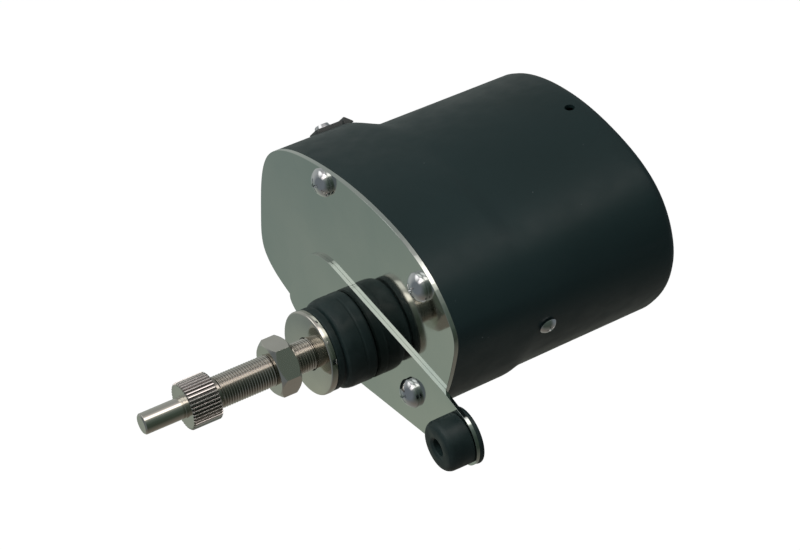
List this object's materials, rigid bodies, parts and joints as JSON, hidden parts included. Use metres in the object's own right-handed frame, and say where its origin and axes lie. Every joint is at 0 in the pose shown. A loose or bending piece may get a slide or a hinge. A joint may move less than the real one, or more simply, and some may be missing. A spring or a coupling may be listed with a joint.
{
  "type": "wiper motor",
  "caption": "Windscreen wiper motor with a deep drawn black cover, a polished front plate, a foot bracket and a swinging knurled spindle in a threaded bush.",
  "frame": {"origin": "on the axis of the threaded bush and the spindle, in the front face of the front plate", "axes": "-Y along the spindle towards its tip, +X from the spindle to the foot of the bracket, +Z towards the side that the housing is on"},
  "size_m": [0.1365, 0.1635, 0.0795],
  "materials": {
    "plate_metal": "polished",
    "gasket": "matt",
    "cast_metal": "as cast",
    "cover_paint": "satin",
    "screw_metal": "polished",
    "boot_rubber": "satin",
    "bright_steel": "nickel plated",
    "black_plastic": "satin",
    "bronze": "sintered",
    "dark_steel": "machined",
    "magnet": "ground",
    "laminate": "matt",
    "carbon": "matt",
    "gear_plastic": "moulded",
    "core_steel": "stamped",
    "copper": "drawn"
  },
  "bodies": {
    "housing": {"front_plate": "plate_metal", "plate_gasket": "gasket", "gear_case": "cast_metal", "motor_cover": "cover_paint", "cover_screws": "screw_metal", "mounting_bracket": "plate_metal", "foot_grommet": "boot_rubber", "plate_screws": "screw_metal", "bracket_screws": "screw_metal", "threaded_bush": "bright_steel", "rubber_boot": "boot_rubber", "panel_washer": "bright_steel", "panel_nut": "bright_steel", "terminal_block": "black_plastic", "terminal_blade": "black_plastic", "terminal_screw": "screw_metal", "spindle_rear_bush": "bronze", "armature_front_bush": "bronze", "armature_rear_bush": "bronze", "idler_axle": "dark_steel", "crank_axle": "dark_steel", "sector_axle": "dark_steel", "motor_yoke": "dark_steel", "field_magnets": "magnet", "motor_end_plate": "dark_steel", "brush_plate": "laminate", "carbon_brushes": "carbon", "brush_springs": "dark_steel"},
    "output_shaft": {"wiper_spindle": "bright_steel", "knurled_driver": "bright_steel", "output_pinion": "dark_steel"},
    "sector": {"sector_gear": "dark_steel", "sector_pin": "dark_steel", "link_clip": "dark_steel"},
    "link": {"connecting_link": "dark_steel"},
    "crank": {"crank_gear": "gear_plastic", "crank_pin": "dark_steel"},
    "idler": {"idler_pinion": "dark_steel", "idler_wheel": "gear_plastic"},
    "armature": {"armature_shaft": "dark_steel", "armature_pinion": "dark_steel", "armature_core": "core_steel", "armature_windings": "copper", "commutator": "copper"}
  },
  "joints": [
    {"name": "spindle_swing", "type": "hinge", "parent": "housing", "child": "output_shaft", "pos_m": [0, 0, 0], "axis": [0, 1, 0], "range_deg": [-52.5, 52.5]},
    {"name": "sector_swing", "type": "hinge", "parent": "housing", "child": "sector", "pos_m": [-0.02079, 0.0065, 0.012], "axis": [0, 1, 0], "range_deg": [-17.5, 17.5]},
    {"name": "link_swing", "type": "hinge", "parent": "sector", "child": "link", "pos_m": [-0.01379, 0.00905, 0.02412], "axis": [0, 1, 0], "range_deg": [-17.5, 17.5]},
    {"name": "armature_spin", "type": "hinge", "parent": "housing", "child": "armature", "pos_m": [0.00231, 0.045, 0.02413], "axis": [0, 1, 0], "continuous": true},
    {"name": "idler_spin", "type": "hinge", "parent": "housing", "child": "idler", "pos_m": [-0.01541, 0.017, 0.021], "axis": [0, 1, 0], "continuous": true},
    {"name": "crank_spin", "type": "hinge", "parent": "housing", "child": "crank", "pos_m": [-0.031, 0.014, 0.03], "axis": [0, 1, 0], "continuous": true}
  ],
  "couplings": [
    {"joint": "sector_swing", "follows": "spindle_swing", "ratio": -0.33333},
    {"joint": "link_swing", "follows": "spindle_swing", "ratio": 0.33333},
    {"joint": "idler_spin", "follows": "armature_spin", "ratio": -0.2},
    {"joint": "crank_spin", "follows": "armature_spin", "ratio": 0.04}
  ]
}
